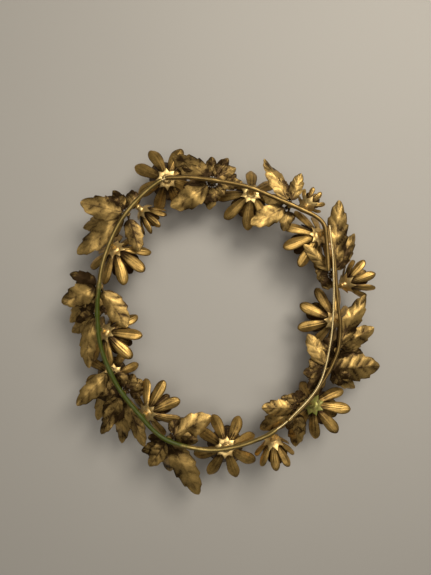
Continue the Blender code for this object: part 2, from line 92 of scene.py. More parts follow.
# %% [markdown]
# ## Camera, floor and light
# The photograph was taken from straight above, close to the crown, so the camera looks down from
# 294 mm over the hoop. The floor is plain and pale. A soft lamp stands at the upper right, which puts
# the shadows at the lower left. Sprayed gold shows what is above it, so a wide, weak lamp hangs
# overhead for the leaves to reflect, and a little light from the world keeps the undersides visible.

# %% Camera and floor
CAMERA_PLACE = (0.0, 0.01775, 0.294)
CAMERA_LENS, SENSOR_WIDTH, NEAR_CLIP = 27.05, 36.0, 0.01
FLOOR_HALF, FLOOR_GAP = 3.0, 0.0003


def add_object(name, data):
    made = bpy.data.objects.new(name, data)
    scene.collection.objects.link(made)
    return made


eye = bpy.data.cameras.new("camera_above")
eye.lens = CAMERA_LENS
eye.sensor_width = SENSOR_WIDTH
eye.clip_start = NEAR_CLIP
camera = add_object("camera_above", eye)
camera.location = CAMERA_PLACE
scene.camera = camera
scene.view_settings.view_transform = "Standard"

floor_z = cad_box[0][2] - FLOOR_GAP
corners = [(x * FLOOR_HALF, y * FLOOR_HALF, floor_z) for x, y in ((-1, -1), (1, -1), (1, 1), (-1, 1))]
floor_mesh = bpy.data.meshes.new("pale_floor")
floor_mesh.from_pydata(corners, [], [(0, 1, 2, 3)])
floor = add_object("pale_floor", floor_mesh)
floor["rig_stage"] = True
print("floor at", round(floor_z * 1000, 1), "mm")

# %% Lamps and world
# name, place, size in metres, power in watts, tint
LAMPS = (("key_lamp", (0.30, 0.40, 0.58), 0.36, 3.7, (1.0, 0.95, 0.87)),
         ("top_lamp", (0.0, 0.05, 0.85), 0.80, 2.8, (1.0, 0.96, 0.90)))
WORLD_TINT, WORLD_STRENGTH = (0.92, 0.90, 0.87, 1), 0.06


def add_lamp(name, place, size, power, tint):
    """A square soft lamp that faces the middle of the hoop."""
    light = bpy.data.lights.new(name, "AREA")
    light.size = size
    light.energy = power
    light.color = tint
    lamp = add_object(name, light)
    lamp.location = place
    towards = -Vector(place)
    lamp.rotation_euler = towards.to_track_quat("-Z", "Y").to_euler()
    return lamp


for row in LAMPS:
    print(add_lamp(*row).name)
world = bpy.data.worlds.new("studio_air")
world.use_nodes = True
air = world.node_tree.nodes["Background"]
air.inputs["Color"].default_value = WORLD_TINT
air.inputs["Strength"].default_value = WORLD_STRENGTH
scene.world = world

# %% [markdown]
# ## Finishes
# Everything was sprayed from a can, so all the golds share one effect: soft clouds where the coat is
# thick or thin, and a fine fleck from the metal powder in the paint. It is a node group with its own
# values in each material. Two more effects are shared. Thin paint lets the green plastic show on a
# stem and on one calyx, and ridge lines are the fine moulded lines of petals and leaves.

# %% Helpers for node trees
COLOUR = "NodeSocketColor"
FLOAT = "NodeSocketFloat"


def put(tree, kind, inputs=None, **settings):
    """Adds a node, sets its options, and fills or links its inputs."""
    node = tree.nodes.new(kind)
    for label, value in settings.items():
        setattr(node, label, value)
    for label, value in (inputs or {}).items():
        if isinstance(value, bpy.types.NodeSocket):
            tree.links.new(value, node.inputs[label])
        else:
            node.inputs[label].default_value = value
    return node


def calc(tree, operation, *values, clamp=False):
    """The result of one Math node."""
    node = put(tree, "ShaderNodeMath", dict(enumerate(values)), operation=operation, use_clamp=clamp)
    return node.outputs[0]


def ramp(tree, value, low, high, to_low=0.0, to_high=1.0):
    """A smooth step of a value from one range to another."""
    ends = {"Value": value, "From Min": low, "From Max": high, "To Min": to_low, "To Max": to_high}
    return put(tree, "ShaderNodeMapRange", ends, interpolation_type="SMOOTHSTEP").outputs[0]


def mix_colours(tree, share, first, second):
    return put(tree, "ShaderNodeMix", {0: share, 6: first, 7: second}, data_type="RGBA").outputs[2]


def own_space(tree):
    """Coordinates that move with the piece."""
    return put(tree, "ShaderNodeTexCoord").outputs["Object"]


def noise(tree, at, scale, detail, roughness=0.5):
    """Cloudy noise over the surface, from 0 to 1."""
    values = {"Vector": at, "Scale": scale, "Detail": detail, "Roughness": roughness}
    return put(tree, "ShaderNodeTexNoise", values).outputs["Fac"]


def mark(tree, label):
    """One of the values that each point of a piece carries."""
    return put(tree, "ShaderNodeAttribute", attribute_name=label).outputs["Fac"]


def new_group(name, inputs, outputs):
    """An empty node group with named sockets, and its two ends."""
    group = bpy.data.node_groups.new(name, "ShaderNodeTree")
    for label, kind, value in inputs:
        group.interface.new_socket(label, in_out="INPUT", socket_type=kind).default_value = value
    for label, kind in outputs:
        group.interface.new_socket(label, in_out="OUTPUT", socket_type=kind)
    return group, group.nodes.new("NodeGroupInput").outputs, group.nodes.new("NodeGroupOutput").inputs


print("node helpers ready")

# %% Spray coat
spray_coat, given, result = new_group(
    "spray_coat",
    [("Bright", COLOUR, (0.7, 0.5, 0.2, 1)), ("Deep", COLOUR, (0.2, 0.1, 0.03, 1)),
     ("Shade", FLOAT, 0.0), ("Cloud Scale", FLOAT, 110.0), ("Fleck Scale", FLOAT, 2400.0),
     ("Smooth", FLOAT, 0.34), ("Rough", FLOAT, 0.55)],
    [("Colour", COLOUR), ("Roughness", FLOAT), ("Height", FLOAT)])
tree = spray_coat
at = own_space(tree)
clouds = noise(tree, at, given["Cloud Scale"], detail=4.0, roughness=0.62)
flecks = noise(tree, at, given["Fleck Scale"], detail=2.0, roughness=0.7)
cover = ramp(tree, clouds, 0.32, 0.68, to_low=0.42, to_high=0.95)
speckle = ramp(tree, flecks, 0.3, 0.7, to_low=-0.16, to_high=0.16)
coat = calc(tree, "ADD", cover, speckle)
coat = calc(tree, "SUBTRACT", coat, given["Shade"], clamp=True)
tree.links.new(mix_colours(tree, coat, given["Deep"], given["Bright"]), result["Colour"])
grit = calc(tree, "MULTIPLY", ramp(tree, flecks, 0.25, 0.75), 0.5)
worn = calc(tree, "SUBTRACT", 1.0, coat)
grit = calc(tree, "MULTIPLY_ADD", worn, 0.5, grit)
span = calc(tree, "SUBTRACT", given["Rough"], given["Smooth"])
tree.links.new(calc(tree, "MULTIPLY_ADD", grit, span, given["Smooth"]), result["Roughness"])
tree.links.new(calc(tree, "MULTIPLY_ADD", clouds, 0.5, flecks), result["Height"])
print("group", tree.name, "with", len(tree.nodes), "nodes")

# %% Thin paint
thin_paint, given, result = new_group(
    "thin_paint",
    [("Paint", COLOUR, (0.4, 0.3, 0.1, 1)), ("Plastic", COLOUR, (0.05, 0.1, 0.01, 1)), ("Bare", FLOAT, 0.5),
     ("Scale", FLOAT, 260.0), ("Edge", FLOAT, 0.2)],
    [("Colour", COLOUR), ("Painted", FLOAT)])
tree = thin_paint
patches = noise(tree, own_space(tree), given["Scale"], detail=5.0, roughness=0.7)
patches = calc(tree, "MULTIPLY_ADD", patches, 1.6, 0.2)
cover = calc(tree, "SUBTRACT", patches, given["Bare"])
cover = calc(tree, "DIVIDE", cover, given["Edge"])
painted = ramp(tree, cover, -1.0, 1.0)
tree.links.new(mix_colours(tree, painted, given["Plastic"], given["Paint"]), result["Colour"])
tree.links.new(painted, result["Painted"])
print("group", tree.name, "with", len(tree.nodes), "nodes")

# %% Ridge lines
ridge_lines, given, result = new_group(
    "ridge_lines",
    [("Across", FLOAT, 0.0), ("Count", FLOAT, 4.0), ("Wander", FLOAT, 0.15)],
    [("Height", FLOAT), ("Groove", FLOAT)])
tree = ridge_lines
drift = noise(tree, own_space(tree), 160.0, detail=2.0)
drift = calc(tree, "SUBTRACT", drift, 0.5)
phase = calc(tree, "MULTIPLY_ADD", drift, given["Wander"], given["Across"])
phase = calc(tree, "MULTIPLY", calc(tree, "MULTIPLY", phase, given["Count"]), math.tau)
swell = calc(tree, "MULTIPLY_ADD", calc(tree, "COSINE", phase), 0.5, 0.5)
tree.links.new(calc(tree, "POWER", swell, 0.5), result["Height"])
valley = calc(tree, "SUBTRACT", 1.0, swell)
tree.links.new(calc(tree, "POWER", valley, 4.0), result["Groove"])
print("group", tree.name, "with", len(tree.nodes), "nodes")

# %% [markdown]
# Each finish keeps its own Principled BSDF. The golds are mostly metal, with a satin gloss on petals
# and leaves and a brighter one on the smooth calyxes and the bare wire. Every point of a piece carries
# three values: how far along and across it lies, and how much shade its grooves and tips collect.

# %% Helpers for materials
COAT_ROUGHNESS = 0.2
materials = {}


def new_finish(name, metallic=1.0, roughness=0.4, coat=0.0):
    """A material and its Principled BSDF with the plain numbers set."""
    made = bpy.data.materials.new(name)
    made.use_nodes = True
    tree = made.node_tree
    skin = tree.nodes["Principled BSDF"]
    skin.inputs["Metallic"].default_value = metallic
    skin.inputs["Roughness"].default_value = roughness
    skin.inputs["Coat Weight"].default_value = coat
    skin.inputs["Coat Roughness"].default_value = COAT_ROUGHNESS
    materials[name] = made
    print("finish", name)
    return tree, skin


def add_bump(tree, skin, height, strength, distance):
    bump = put(tree, "ShaderNodeBump", {"Height": height, "Strength": strength, "Distance": distance})
    tree.links.new(bump.outputs["Normal"], skin.inputs["Normal"])


def use_spray(tree, skin, bright, deep, shade, **values):
    """Places the spray coat in a material and feeds its colour and roughness to the skin."""
    spray = put(tree, "ShaderNodeGroup", node_tree=spray_coat)
    spray.inputs["Bright"].default_value = (*bright, 1)
    spray.inputs["Deep"].default_value = (*deep, 1)
    if shade is not None:
        tree.links.new(shade, spray.inputs["Shade"])
    for label, value in values.items():
        spray.inputs[label.replace("_", " ")].default_value = value
    tree.links.new(spray.outputs["Colour"], skin.inputs["Base Color"])
    tree.links.new(spray.outputs["Roughness"], skin.inputs["Roughness"])
    return spray


def use_ridges(tree, across, count, wander):
    values = {"Across": across, "Count": count, "Wander": wander}
    return put(tree, "ShaderNodeGroup", values, node_tree=ridge_lines)


print("material helpers ready")

# %% Petal and leaf golds
PETAL_BRIGHT, PETAL_DEEP = (0.77, 0.480, 0.132), (0.042, 0.019, 0.003)
LEAF_BRIGHT, LEAF_DEEP = (0.69, 0.445, 0.134), (0.042, 0.020, 0.003)
PETAL_GROOVE_SHADE, PETAL_FLECK_HEIGHT = 0.10, 0.35
LEAF_VEIN_SLANT, LEAF_VEIN_SHADE, LEAF_VEIN_HEIGHT = -0.20, 0.05, 0.3

tree, skin = new_finish("petal_gold", metallic=0.78)
ridges = use_ridges(tree, mark(tree, "across"), count=2.5, wander=0.20)
shade = calc(tree, "MULTIPLY_ADD", ridges.outputs["Groove"], PETAL_GROOVE_SHADE, mark(tree, "shade"))
spray = use_spray(tree, skin, PETAL_BRIGHT, PETAL_DEEP, shade, Smooth=0.28, Rough=0.50)
height = calc(tree, "MULTIPLY_ADD", spray.outputs["Height"], PETAL_FLECK_HEIGHT, ridges.outputs["Height"])
add_bump(tree, skin, height, strength=0.35, distance=0.0003)

tree, skin = new_finish("leaf_gold", metallic=0.76)
sideways = calc(tree, "ABSOLUTE", mark(tree, "across"))
slant = calc(tree, "MULTIPLY_ADD", sideways, LEAF_VEIN_SLANT, mark(tree, "along"))
ridges = use_ridges(tree, slant, count=9.0, wander=0.16)
shade = calc(tree, "MULTIPLY_ADD", ridges.outputs["Groove"], LEAF_VEIN_SHADE, mark(tree, "shade"))
spray = use_spray(tree, skin, LEAF_BRIGHT, LEAF_DEEP, shade, Smooth=0.28, Rough=0.52)
height = calc(tree, "MULTIPLY_ADD", ridges.outputs["Height"], LEAF_VEIN_HEIGHT, spray.outputs["Height"])
add_bump(tree, skin, height, strength=0.4, distance=0.0003)

# %% Stamen, calyx and wire golds
# name, metallic, bright, deep, smooth, rough, cloud scale, bump strength
PLAIN_GOLDS = (("stamen_gold", 0.85, (0.55, 0.35, 0.11), (0.09, 0.045, 0.012), 0.34, 0.55, 300.0, 0.3),
               ("calyx_gold", 0.85, (1.0, 0.73, 0.30), (0.30, 0.16, 0.035), 0.34, 0.50, 200.0, 0.15),
               ("wire_gold", 0.9, (1.0, 0.79, 0.40), (0.70, 0.48, 0.18), 0.16, 0.26, 160.0, 0.12))

for name, metallic, bright, deep, smooth, rough, scale, strength in PLAIN_GOLDS:
    tree, skin = new_finish(name, metallic)
    values = {"Smooth": smooth, "Rough": rough, "Cloud_Scale": scale}
    spray = use_spray(tree, skin, bright, deep, mark(tree, "shade"), **values)
    add_bump(tree, skin, spray.outputs["Height"], strength, distance=0.0002)

# %% Sprayed plastics
PAINT_SMOOTH, PAINT_ROUGH, PAINT_EDGE, PAINT_METAL, PLASTIC_SPECULAR = 0.30, 0.50, 0.35, 0.85, 0.25


def plastic_finish(name, paint, deep, plastic):
    """Spray paint over green plastic, which shows where a point's shade value is high."""
    tree, skin = new_finish(name)
    skin.inputs["Specular IOR Level"].default_value = PLASTIC_SPECULAR
    spray = use_spray(tree, skin, paint, deep, None, Smooth=PAINT_SMOOTH, Rough=PAINT_ROUGH)
    values = {"Paint": spray.outputs["Colour"], "Plastic": (*plastic, 1)}
    values |= {"Bare": mark(tree, "shade"), "Edge": PAINT_EDGE}
    thin = put(tree, "ShaderNodeGroup", values, node_tree=thin_paint)
    tree.links.new(thin.outputs["Colour"], skin.inputs["Base Color"])
    tree.links.new(calc(tree, "MULTIPLY", thin.outputs["Painted"], PAINT_METAL), skin.inputs["Metallic"])
    add_bump(tree, skin, spray.outputs["Height"], strength=0.2, distance=0.0002)


plastic_finish("stem_bronze", (0.34, 0.22, 0.07), (0.08, 0.045, 0.012), (0.10, 0.10, 0.02))
plastic_finish("stem_olive", (0.42, 0.30, 0.10), (0.12, 0.085, 0.02), (0.062, 0.080, 0.005))
plastic_finish("calyx_green", (0.62, 0.48, 0.18), (0.24, 0.20, 0.05), (0.20, 0.24, 0.035))

# %% Glue and floor
GLUE_DARK, GLUE_LIGHT = (0.18, 0.080, 0.015, 1), (0.42, 0.24, 0.065, 1)
FLOOR_DARK, FLOOR_LIGHT = (0.50, 0.47, 0.42, 1), (0.54, 0.51, 0.455, 1)

tree, skin = new_finish("glue_amber", metallic=0.0, roughness=0.12, coat=0.6)
swirl = noise(tree, own_space(tree), 420.0, detail=3.0)
tree.links.new(mix_colours(tree, swirl, GLUE_DARK, GLUE_LIGHT), skin.inputs["Base Color"])
add_bump(tree, skin, swirl, strength=0.35, distance=0.0004)

tree, skin = new_finish("floor_matt", metallic=0.0, roughness=0.75)
cloud = noise(tree, own_space(tree), 4.0, detail=2.0)
tree.links.new(mix_colours(tree, cloud, FLOOR_DARK, FLOOR_LIGHT), skin.inputs["Base Color"])
floor_mesh.materials.append(materials["floor_matt"])

# %% [markdown]
# ## Lofting
# Petals, leaves, stems and calyxes are all skins drawn over rows of closed loops. One small class
# collects the loops of a piece, with the three values of each point, and joins them into a mesh.
# A skin with loops follows bent and tapered forms better than a stretched primitive would.

# %% The shell that collects skins


class Shell:
    """Skins lofted over closed loops, gathered into one piece."""

    def __init__(self):
        self.points, self.marks, self.faces, self.count = [], [], [], 0

    def loft(self, loops, along, across, shade):
        """Joins rows of loops, shaped (rows, around, 3), and closes both ends."""
        rows, around = loops.shape[:2]
        ids = self.count + np.arange(rows * around).reshape(rows, around)
        after = np.roll(ids, -1, axis=1)
        self.faces += np.stack([ids[:-1], after[:-1], after[1:], ids[1:]], axis=-1).reshape(-1, 4).tolist()
        self.faces += [ids[0][::-1].tolist(), ids[-1].tolist()]
        marks = np.stack([np.broadcast_to(m, (rows, around)) for m in (along, across, shade)], axis=-1)
        self.points.append(loops.reshape(-1, 3))
        self.marks.append(marks.reshape(-1, 3))
        self.count += rows * around

    def dress(self, node, finish, slot, sharp=50):
        """Makes the piece that stands for a CAD node and moves with its body."""
        mesh = bpy.data.meshes.new(f"{node}_skin")
        mesh.from_pydata(np.vstack(self.points).tolist(), [], self.faces)
        shape = bmesh.new()
        shape.from_mesh(mesh)
        bmesh.ops.recalc_face_normals(shape, faces=shape.faces)
        shape.to_mesh(mesh)
        shape.free()
        for label, values in zip(("along", "across", "shade"), np.vstack(self.marks).T):
            carried = mesh.attributes.new(label, "FLOAT", "POINT").data
            carried.foreach_set("value", np.ascontiguousarray(values))
        mesh.shade_smooth()
        mesh.set_sharp_from_angle(angle=math.radians(sharp))
        mesh.materials.append(materials[finish])
        piece = add_object(f"{node}_skin", mesh)
        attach(piece, frame["nodes"][node]["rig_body"])
        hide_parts(node)
        return piece


print("shell ready")

# %% Helpers for loops
MM = 0.001
UP = np.array((0.0, 0.0, 1.0))
NO_PATH_WAY = (0.123, 0.071, 0.99)


def unit(vectors):
    return vectors / np.linalg.norm(vectors, axis=-1, keepdims=True)


def level_way(degrees):
    """A level direction at an angle round the hoop."""
    return np.array((math.cos(math.radians(degrees)), math.sin(math.radians(degrees)), 0.0))


def climb(x, start, end):
    """0 at the start, 1 at the end, straight between them and level outside."""
    return np.clip((x - start) / (end - start), 0, 1)


def bell(x, width):
    return np.exp(-((x / width) ** 2))


def ring_turns(sides):
    return np.arange(sides) * math.tau / sides


def tube_loops(path, radius, sides):
    """Loops of a round tube along a path; the radius may change along it."""
    ahead = unit(np.gradient(path, axis=0))
    side = unit(np.cross(ahead, NO_PATH_WAY))
    up = np.cross(side, ahead)
    turns = ring_turns(sides)[None, :, None]
    radius = np.broadcast_to(radius, len(path))[:, None, None]
    return path[:, None] + radius * (np.cos(turns) * side[:, None] + np.sin(turns) * up[:, None])


def both_faces(columns):
    """Places across a sheet, over its back and home over its front, and which are on the back."""
    u = np.linspace(-1, 1, columns)
    back = np.concatenate([np.ones(columns), np.zeros(columns - 2)])
    return np.concatenate([u, u[-2:0:-1]])[None, :], back[None, :]


print("loop helpers ready")

# %% [markdown]
# ## The hoop
# The wire's route is an oval that was bent by hand, so it is a smooth curve through measured points.
# The top and left stems are threaded on it. The right stem is thinner and is glued under the bare
# stretch. Stems swell a little where a spur leaves them, and carry a few cut-off stubs.

# %% Routes
TOP_ROUTE = ((76.9, 29.0), (76.2, 42.0), (75.4, 52.5), (74.0, 60.2), (69.0, 65.6), (58.8, 70.8),
             (37.1, 80.3), (22.8, 86.0), (6.8, 89.5), (-15.3, 92.5), (-26.2, 92.5), (-36.5, 91.0))
LEFT_ROUTE = ((-51.5, 79.0), (-65.4, 61.7), (-75.8, 37.6), (-79.7, 16.0), (-80.4, -3.0), (-77.7, -24.1),
              (-67.9, -47.3), (-53.0, -67.6), (-34.7, -85.2), (-8.7, -92.5), (12.3, -91.0), (32.8, -84.1),
              (42.0, -78.5))
BARE_ROUTE = ((52.6, -69.6), (70.3, -48.8), (78.1, -20.5), (80.5, 9.9), (80.0, 35.8), (78.6, 50.0),
              (77.6, 60.0))
RIGHT_ROUTE = ((50.0, -73.8), (57.5, -67.2), (66.2, -57.5), (74.0, -46.5), (80.2, -35.5), (84.5, -23.5),
               (85.6, -8.0), (84.0, 8.0), (82.8, 22.0), (81.8, 36.0), (80.2, 48.0))
RIGHT_DROP = 2.4
FINE_STEP = 2.0


def smooth_route(knots):
    """A Catmull-Rom curve through the knots, in millimetres."""
    knots = np.array([(x, y, 0.0) for x, y in knots])
    ends = np.vstack([2 * knots[0] - knots[1], knots, 2 * knots[-1] - knots[-2]])
    curve = []
    for a, b, c, d in zip(ends, ends[1:], ends[2:], ends[3:]):
        t = np.arange(0, 1, 1 / max(2, round(np.linalg.norm(c - b) / FINE_STEP)))[:, None]
        bend = (2 * a - 5 * b + 4 * c - d) * t**2 + (3 * b - a - 3 * c + d) * t**3
        curve.append(0.5 * (2 * b + (c - a) * t + bend))
    return np.vstack([*curve, knots[-1:]])


def lengths_along(path):
    """The way from the start of a path to each of its points."""
    return np.concatenate([[0], np.cumsum(np.linalg.norm(np.diff(path, axis=0), axis=1))])


wire_path = smooth_route(TOP_ROUTE + LEFT_ROUTE + BARE_ROUTE)
stem_ends = (TOP_ROUTE[-1], LEFT_ROUTE[-1])
top_end, left_end = [int(np.argmin(np.linalg.norm(wire_path[:, :2] - p, axis=1))) for p in stem_ends]
bare_path = wire_path[left_end:]
stem_paths = {"top": wire_path[:top_end], "left": wire_path[top_end:left_end + 1],
              "right": smooth_route(RIGHT_ROUTE) - RIGHT_DROP * UP}
print("wire length", round(float(lengths_along(wire_path)[-1])), "mm")

# %% [markdown]
# The next tables say where each flower and leaf leaves the hoop. A head's place and axis come from its
# joint, so its row holds only the stem, the stalk, how far the petals open, their spin and their size.
# A spray's row holds the stem, the place round the hoop and its leaflets, as they were read off:
# each has a heading, a length, a width and a pitch, and a few have a bend and a roll.

# %% Flowers
FLOWERS = (("top", 2.6, 18, -2, 1.0), ("top", 2.6, 38, 10, 0.46), ("top", 2.6, 20, 5, 1.0),
           ("right", 3.6, 42, 0, 0.78), ("right", 2.6, 18, 13, 1.0), ("right", 6.6, 22, 14, 1.0),
           ("left", 2.6, 42, 12, 0.76), ("left", 2.6, 18, -16, 1.0), ("left", 2.6, 20, 2, 0.95),
           ("left", 9.8, 16, 10, 0.80), ("left", 3.2, 20, 0, 1.0), ("left", 3.2, 20, 4, 1.0),
           ("left", 2.6, 44, 0, 0.62), ("top", 2.6, 18, -6, 1.05))
print(len(FLOWERS), "flower heads")

# %% Leaf sprays
LEAF_SPRAYS = {
    "top": ("top", 91.5, ((138, 34, 17.5, -3, 16, 10), (219, 32, 16, 0, -20, -12), (264, 18, 10, -18))),
    "top_right": ("top", 55.5, ((112, 36, 13, 0, 10, 35), (70, 22, 10, 5), (206, 28, 14, 10),
                                (258, 16, 9, 0), (158, 18, 9, -10))),
    "right_upper": ("right", 378.0, ((86, 50, 16, 7), (137, 30, 9.5, 14), (54, 38, 11, -14, 10, 10))),
    "right_middle": ("right", 343.0, ((27, 32, 14, -8), (63, 41, 13, 10))),
    "right_lower": ("right", 333.0, ((3, 37, 20, -2), (118, 28, 13, 0), (326, 28, 10, -18))),
    "bottom_right": ("right", 311.0, ((178, 24, 12, 8), (214, 31, 14, -12), (268, 28, 13, -8))),
    "bottom": ("left", 249.5, ((25, 31, 17, -3), (62, 12, 6, -18), (296, 46, 17, -3), (236, 22, 12, 4),
                               (268, 34, 16, -26))),
    "bottom_left": ("left", 221.0, ((241, 32, 11, 2), (264, 40, 12, -12), (289, 42, 12, 0))),
    "left_lower": ("left", 208.5, ((226, 32, 13, 8), (252, 40, 12, -10))),
    "left_middle": ("left", 180.0, ((239, 42, 13, -2, 40), (213, 26, 11, -15))),
    "left": ("left", 166.8, ((203, 27, 16, 8), (226, 36, 13, -12), (303, 32, 16, 5))),
    "left_upper": ("left", 131.5, ((167, 31, 17, 11), (193, 36, 13, -14), (217, 44, 16, 0),
                                   (287, 27, 13, 5)))}
print(len(LEAF_SPRAYS), "leaf sprays")

# %% Spurs
SPUR_SEAT, LEAF_SPUR = 3.0, 5.0


def route_angles(path):
    return np.degrees(np.unwrap(np.arctan2(path[:, 1], path[:, 0])))


def route_point(path, angle):
    """The path's point at an angle round the hoop, in degrees."""
    angles = route_angles(path)
    angle = angle + 360 * np.round((angles.mean() - angle) / 360)
    return np.array([np.interp(angle, angles, path[:, k]) for k in range(3)])


spurs = []
for joint, (stem, stalk, *_) in zip(frame["joints"], FLOWERS):
    spurs.append((stem, np.array(joint["pos_m"]) / MM, np.array(joint["axis"]), stalk + SPUR_SEAT))
for stem, place, _ in LEAF_SPRAYS.values():
    spurs.append((stem, route_point(stem_paths[stem], place), -UP, LEAF_SPUR))
print(len(spurs), "spurs")

# %% Green along the left stem
GREEN_START, GREEN_FULL, GREEN_FADING, GREEN_END = 150, 176, 252, 266
GREEN_LEVEL, GREEN_INWARD, GREEN_LEAST, GREEN_MOST = 1.45, 0.35, 0.8, 1.7


def bare_plastic(stem, loops):
    """How much green shows: the left stem is bare along its lower left, least on its outer side."""
    if stem != "left":
        return np.zeros(loops.shape[:2])
    angle = np.degrees(np.arctan2(loops[..., 1], loops[..., 0])) % 360
    middle = loops.mean(axis=1, keepdims=True)
    inward = np.linalg.norm(middle[..., :2], axis=-1) - np.linalg.norm(loops[..., :2], axis=-1)
    stretch = climb(angle, GREEN_START, GREEN_FULL) * climb(angle, GREEN_END, GREEN_FADING)
    return stretch * np.clip(GREEN_LEVEL + GREEN_INWARD * inward, GREEN_LEAST, GREEN_MOST)


print("green from", GREEN_START, "to", GREEN_END, "degrees")

# %% Wire and stems
WIRE_RADIUS, WIRE_SIDES = 0.8, 12
STEM_RADIUS = {"top": 1.5, "left": 1.5, "right": 1.1}
STEM_SIDES, STEM_END, STEM_TAPER = 14, 0.72, 2.0
SPUR_RADIUS, SPUR_FOOT, SPUR_SWELL, SPUR_SPREAD = 1.0, 1.25, 0.18, 2.6
WAVER, WAVER_PITCH = 0.03, 0.9
ROD_ROWS, ROD_SIDES = 5, 10
STUBS = (("left", 127, 40, 3.2), ("left", 163, 120, 2.4), ("top", 62, 80, 2.6), ("left", 262, 250, 2.6))
STUB_FOOT, STUB_TIP, STUB_FALL = 0.8, 0.35, 0.15


def add_rod(shell, stem, start, end, first_radius, last_radius):
    path = start + np.linspace(0, 1, ROD_ROWS)[:, None] * (end - start)
    loops = tube_loops(path, np.linspace(first_radius, last_radius, ROD_ROWS), ROD_SIDES)
    shell.loft(loops * MM, 0.0, 0.0, bare_plastic(stem, loops))


def dress_stem(stem, finish, slot):
    """A stem with its spurs and its cut-off stubs."""
    shell = Shell()
    path = stem_paths[stem]
    own_spurs = [s for s in spurs if s[0] == stem]
    near_spur = sum(bell(np.linalg.norm(path - s[1], axis=1), SPUR_SPREAD) for s in own_spurs)
    length = lengths_along(path)
    taper = climb(np.minimum(length, length[-1] - length), 0, STEM_TAPER) ** 0.5
    uneven = 1 + SPUR_SWELL * np.clip(near_spur, 0, 1) + WAVER * np.sin(length * WAVER_PITCH)
    radius = STEM_RADIUS[stem] * (STEM_END + (1 - STEM_END) * taper) * uneven
    loops = tube_loops(path, radius, STEM_SIDES)
    shell.loft(loops * MM, (length / length[-1])[:, None], 0.0, bare_plastic(stem, loops))
    for _, base, axis, reach in own_spurs:
        add_rod(shell, stem, base, base + axis * reach, SPUR_RADIUS * SPUR_FOOT, SPUR_RADIUS)
    for name, place, heading, reach in STUBS:
        if name == stem:
            base = route_point(path, place)
            tip = base + reach * (level_way(heading) - STUB_FALL * UP)
            add_rod(shell, stem, base, tip, STUB_FOOT, STUB_TIP)
    return shell.dress(f"stem_{stem}", finish, slot)


wire = Shell()
wire.loft(tube_loops(wire_path, WIRE_RADIUS, WIRE_SIDES) * MM, 0.0, 0.0, 0.0)
wire.dress("core_wire", "wire_gold", "wire")
for stem, finish, slot in (("top", "stem_bronze", "stem_bronze"), ("left", "stem_olive", "stem_green"),
                           ("right", "stem_bronze", "stem_bronze")):
    print(dress_stem(stem, finish, slot).name)

# %% [markdown]
# The hot glue is a lumpy bead that was squeezed between the wires. A tube whose radius wanders along
# its length and round it gives the lumps. The bead at the overlap kept its shiny amber skin; the lower
# one was sprayed along with the stem that it holds.

# %% Glue
GLUE_ROWS, GLUE_SIDES, GLUE_ROUNDING = 14, 16, 0.93
BIG_LUMP, SMALL_LUMP = 0.10, 0.06
TAIL_END = 36.5


def dress_glue(node, first, last, other, drop, radius, finish):
    """A bead between the bare wire and another path, between two angles round the hoop."""
    middle = []
    for angle in np.linspace(first, last, GLUE_ROWS):
        point = route_point(bare_path, angle)
        near = other[np.argmin(np.linalg.norm(other - point, axis=1))]
        middle.append((point + near) / 2 - drop * UP)
    middle = np.array(middle)
    share = np.linspace(-1, 1, GLUE_ROWS)
    loops = tube_loops(middle, radius * np.sqrt(1 - GLUE_ROUNDING * share**4), GLUE_SIDES)
    x, y, z = np.moveaxis(loops, -1, 0)
    lumps = 1 + BIG_LUMP * np.sin(y * 1.9 + z * 2.3) + SMALL_LUMP * np.sin(x * 4.1)
    centre = middle[:, None]
    bead = Shell()
    bead.loft((centre + (loops - centre) * lumps[..., None]) * MM, 0.0, 0.0, 0.0)
    return bead.dress(node, finish, "glue")


tail = stem_paths["top"][route_angles(stem_paths["top"]) < TAIL_END]
for bead in (("glue_overlap", 25.7, 32.5, tail, 2.4, 2.7, "glue_amber"),
             ("glue_lower", 302.5, 307.0, stem_paths["right"], 0.2, 2.3, "stem_bronze")):
    print(dress_glue(*bead).name)

# %% [markdown]
# ## Flower heads
# A head has two tiers of eight spoon-shaped petals. We see them from behind: each is domed, with two
# grooves that run out towards a round tip. Every petal is bent a little differently, as moulded
# petals are after years in a box, so each gets its own yaw, twist and curl from a seeded generator.

# %% Petal sizes and outline
PETAL_LENGTH, PETAL_WIDTH, PETAL_BASE_WIDTH, PETAL_WIDEST = 22.6, 8.4, 4.6, 0.70
PETAL_CURL, PETAL_SWAY = math.radians(20), math.radians(4)
PETAL_CROWN, PETAL_CUP, PETAL_SHEET = 0.85, 0.10, 0.55
HUB_RADIUS, TIER_THICKNESS, CLEARANCE = 4.0, 0.9, 0.3
NECK_LENGTH, FLANGE_THICKNESS, SOCKET_RADIUS = 4.2, 0.9, 2.0
FRONT_SHARE, FRONT_CONE, FRONT_CLOSING = 0.78, math.radians(68), 0.55


def petal_width(s):
    """Full widths at shares of the length: a slow swelling, then a round tip."""
    rise = climb(s, 0, PETAL_WIDEST)
    past = climb(s, PETAL_WIDEST, 1)
    swelling = PETAL_BASE_WIDTH + (PETAL_WIDTH - PETAL_BASE_WIDTH) * rise**2 * (3 - 2 * rise)
    return np.where(s < PETAL_WIDEST, swelling, PETAL_WIDTH * np.sqrt(1 - past**2 * 0.999))


print("widest petal", PETAL_WIDTH, "mm")

